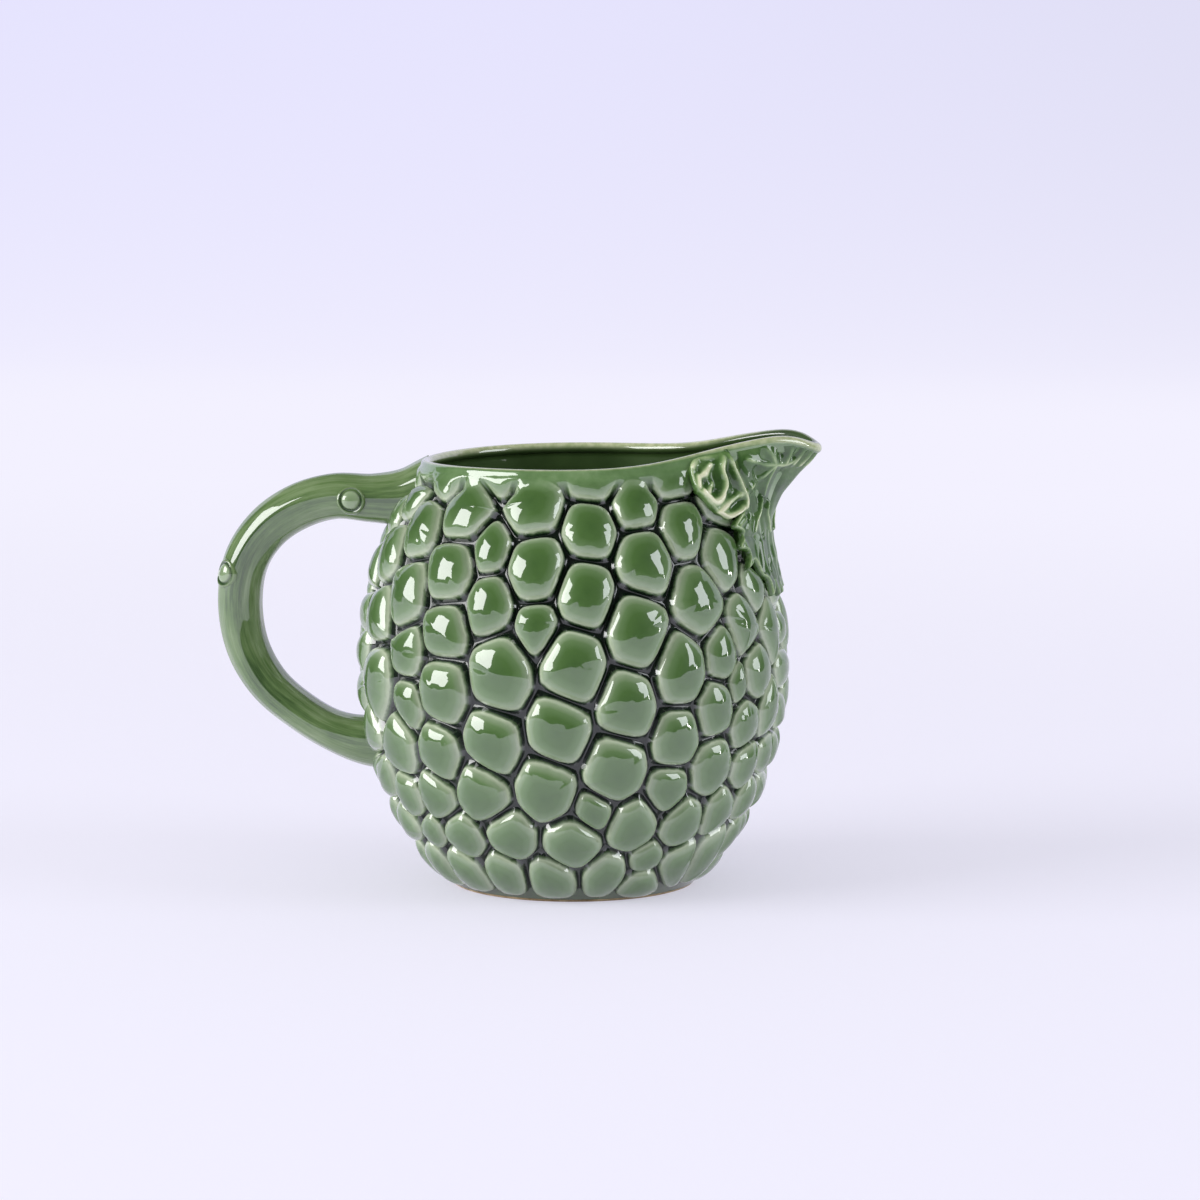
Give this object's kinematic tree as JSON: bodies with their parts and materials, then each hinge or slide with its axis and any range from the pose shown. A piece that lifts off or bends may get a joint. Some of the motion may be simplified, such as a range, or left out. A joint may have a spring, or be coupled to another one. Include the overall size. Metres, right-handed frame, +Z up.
{
  "type": "pouring jug",
  "caption": "Glazed ceramic pouring jug in the shape of a bunch of grapes, with a branch handle, a pinched spout and vine leaves under it.",
  "frame": {"origin": "on the ground, under the middle of the whole jug's box", "axes": "+X toward the spout, -X toward the handle, +Z up"},
  "size_m": [0.2232, 0.159, 0.165],
  "materials": {
    "grape_glaze": "glossy green glaze, darker in the hollows between the grapes",
    "leaf_glaze": "glossy green glaze, pale on the leaves' edges and folds",
    "bark_glaze": "glossy green glaze, streaked along the branch",
    "foot_clay": "bare fired clay on the foot, glossy green glaze inside the jug"
  },
  "bodies": {
    "root": {"body_near_half": "grape_glaze", "body_far_half": "grape_glaze", "base": "foot_clay", "handle": "bark_glaze", "side_twig_knot": "bark_glaze", "outer_twig_knot": "bark_glaze", "spout_leaf": "leaf_glaze", "curled_leaf_near": "leaf_glaze", "curled_leaf_far": "leaf_glaze"}
  },
  "joints": []
}
